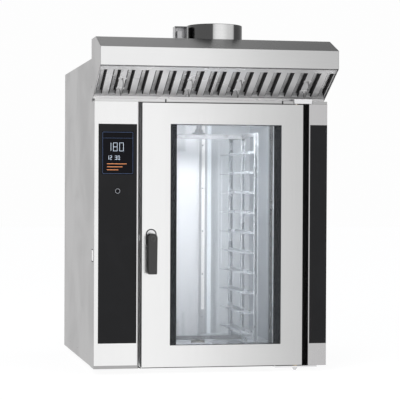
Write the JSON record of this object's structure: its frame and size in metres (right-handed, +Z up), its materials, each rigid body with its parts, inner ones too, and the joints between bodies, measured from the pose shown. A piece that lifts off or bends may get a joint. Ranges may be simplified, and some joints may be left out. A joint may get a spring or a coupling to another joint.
{
  "type": "rotating rack oven",
  "caption": "Free-standing convection oven with a glazed door, a motor-turned rack of tray runners inside, a control column and a sloped extraction hood with grease filters and duct collar",
  "frame": {"origin": "Middle of the footprint box at floor level, under the feet.", "axes": "+X to the right seen from the front, +Y from the door to the back, +Z up."},
  "size_m": [1.2, 1.485, 1.766],
  "materials": {
    "satin_steel": "satin brushed stainless steel",
    "bright_steel": "smooth bright stainless steel",
    "fittings_steel": "plain machined steel",
    "heater_sheath": "dull oxidised alloy",
    "motor_paint": "grey-blue machine paint",
    "bronze": "bearing bronze and brass",
    "seal": "matte silicone",
    "black_plastic": "fine matte black",
    "black_glass": "gloss black glass",
    "screen": "lit dark screen",
    "clear_glass": "clear tempered glass",
    "mineral_wool": "mineral wool"
  },
  "bodies": {
    "cabinet": {"base_pan": "satin_steel", "levelling_feet": "black_plastic", "side_panel_left": "satin_steel", "side_panel_right": "satin_steel", "rear_panel": "satin_steel", "top_panel": "satin_steel", "front_bulkhead": "satin_steel", "chamber_liner": "bright_steel", "chamber_insulation": "mineral_wool", "vent_flue": "satin_steel", "door_gasket": "seal", "air_baffle": "bright_steel", "heating_elements": "heater_sheath", "fan_motor": "motor_paint", "steam_pipe": "bright_steel", "rack_gearmotor": "motor_paint", "rack_bearings": "bronze", "chamber_lamps": "clear_glass", "control_box": "satin_steel", "control_fascia": "satin_steel", "control_glass": "black_glass", "display_panel": "screen", "service_socket": "black_plastic", "right_cover": "satin_steel", "right_glass_strip": "black_glass", "hinge_brackets": "fittings_steel", "latch_keeper": "fittings_steel", "hood_canopy": "satin_steel", "hood_sides": "satin_steel", "hood_plenum": "satin_steel", "duct_collar": "satin_steel", "collar_box": "satin_steel", "filter_rails": "satin_steel", "drip_gutter": "satin_steel", "cable_gland": "black_plastic", "water_inlet": "bronze", "drain_outlet": "bright_steel", "panel_screws": "fittings_steel"},
    "door": {"door_skin": "satin_steel", "door_inner_pan": "bright_steel", "door_insulation": "mineral_wool", "door_glass": "clear_glass", "inner_glass": "clear_glass", "door_hinge_bushes": "bronze", "handle_escutcheon": "bright_steel"},
    "handle": {"handle_lever": "black_plastic", "latch_hook": "fittings_steel"},
    "rack": {"rack_shaft": "bright_steel", "rack_frames": "bright_steel", "rack_runners": "bright_steel", "rack_beams": "bright_steel"},
    "fan": {"fan_impeller": "bright_steel"},
    "flap": {"service_flap": "satin_steel"},
    "tray": {"drip_tray": "satin_steel"},
    "left_filter": {"filter_left": "bright_steel"},
    "right_filter": {"filter_right": "bright_steel"},
    "left_bail_a": {"filter_left_bail_a": "fittings_steel"},
    "left_bail_b": {"filter_left_bail_b": "fittings_steel"},
    "right_bail_a": {"filter_right_bail_a": "fittings_steel"},
    "right_bail_b": {"filter_right_bail_b": "fittings_steel"}
  },
  "joints": [
    {"name": "door_swing", "type": "hinge", "parent": "cabinet", "child": "door", "pos_m": [0.44, -0.5225, 0.7], "axis": [0, 0, 1], "range_deg": [0, 120]},
    {"name": "handle_turn", "type": "hinge", "parent": "door", "child": "handle", "pos_m": [-0.312, -0.5405, 0.681], "axis": [0, -1, 0], "range_deg": [0, 90]},
    {"name": "rack_turn", "type": "hinge", "parent": "cabinet", "child": "rack", "pos_m": [0.04, -0.0125, 0.67], "axis": [0, 0, 1], "continuous": true},
    {"name": "fan_spin", "type": "hinge", "parent": "cabinet", "child": "fan", "pos_m": [-0.1, 0.4725, 0.695], "axis": [0, 1, 0], "continuous": true},
    {"name": "flap_lift", "type": "hinge", "parent": "cabinet", "child": "flap", "pos_m": [-0.5994, -0.4835, 0.6214], "axis": [0, 1, 0], "range_deg": [0, 110]},
    {"name": "tray_slide", "type": "slide", "parent": "cabinet", "child": "tray", "axis": [0, -1, 0], "range_m": [0, 0.2]},
    {"name": "left_filter_lift", "type": "slide", "parent": "cabinet", "child": "left_filter", "axis": [0, -0.8733, 0.4872], "range_m": [0, 0.018]},
    {"name": "right_filter_lift", "type": "slide", "parent": "cabinet", "child": "right_filter", "axis": [0, -0.8733, 0.4872], "range_m": [0, 0.018]},
    {"name": "left_bail_a_swing", "type": "hinge", "parent": "left_filter", "child": "left_bail_a", "pos_m": [-0.4725, -0.58468, 1.44803], "axis": [0, -0.8733, 0.4872], "range_deg": [-80, 80]},
    {"name": "left_bail_b_swing", "type": "hinge", "parent": "left_filter", "child": "left_bail_b", "pos_m": [-0.1255, -0.58468, 1.44803], "axis": [0, -0.8733, 0.4872], "range_deg": [-80, 80]},
    {"name": "right_bail_a_swing", "type": "hinge", "parent": "right_filter", "child": "right_bail_a", "pos_m": [0.1255, -0.58468, 1.44803], "axis": [0, -0.8733, 0.4872], "range_deg": [-80, 80]},
    {"name": "right_bail_b_swing", "type": "hinge", "parent": "right_filter", "child": "right_bail_b", "pos_m": [0.4725, -0.58468, 1.44803], "axis": [0, -0.8733, 0.4872], "range_deg": [-80, 80]}
  ]
}
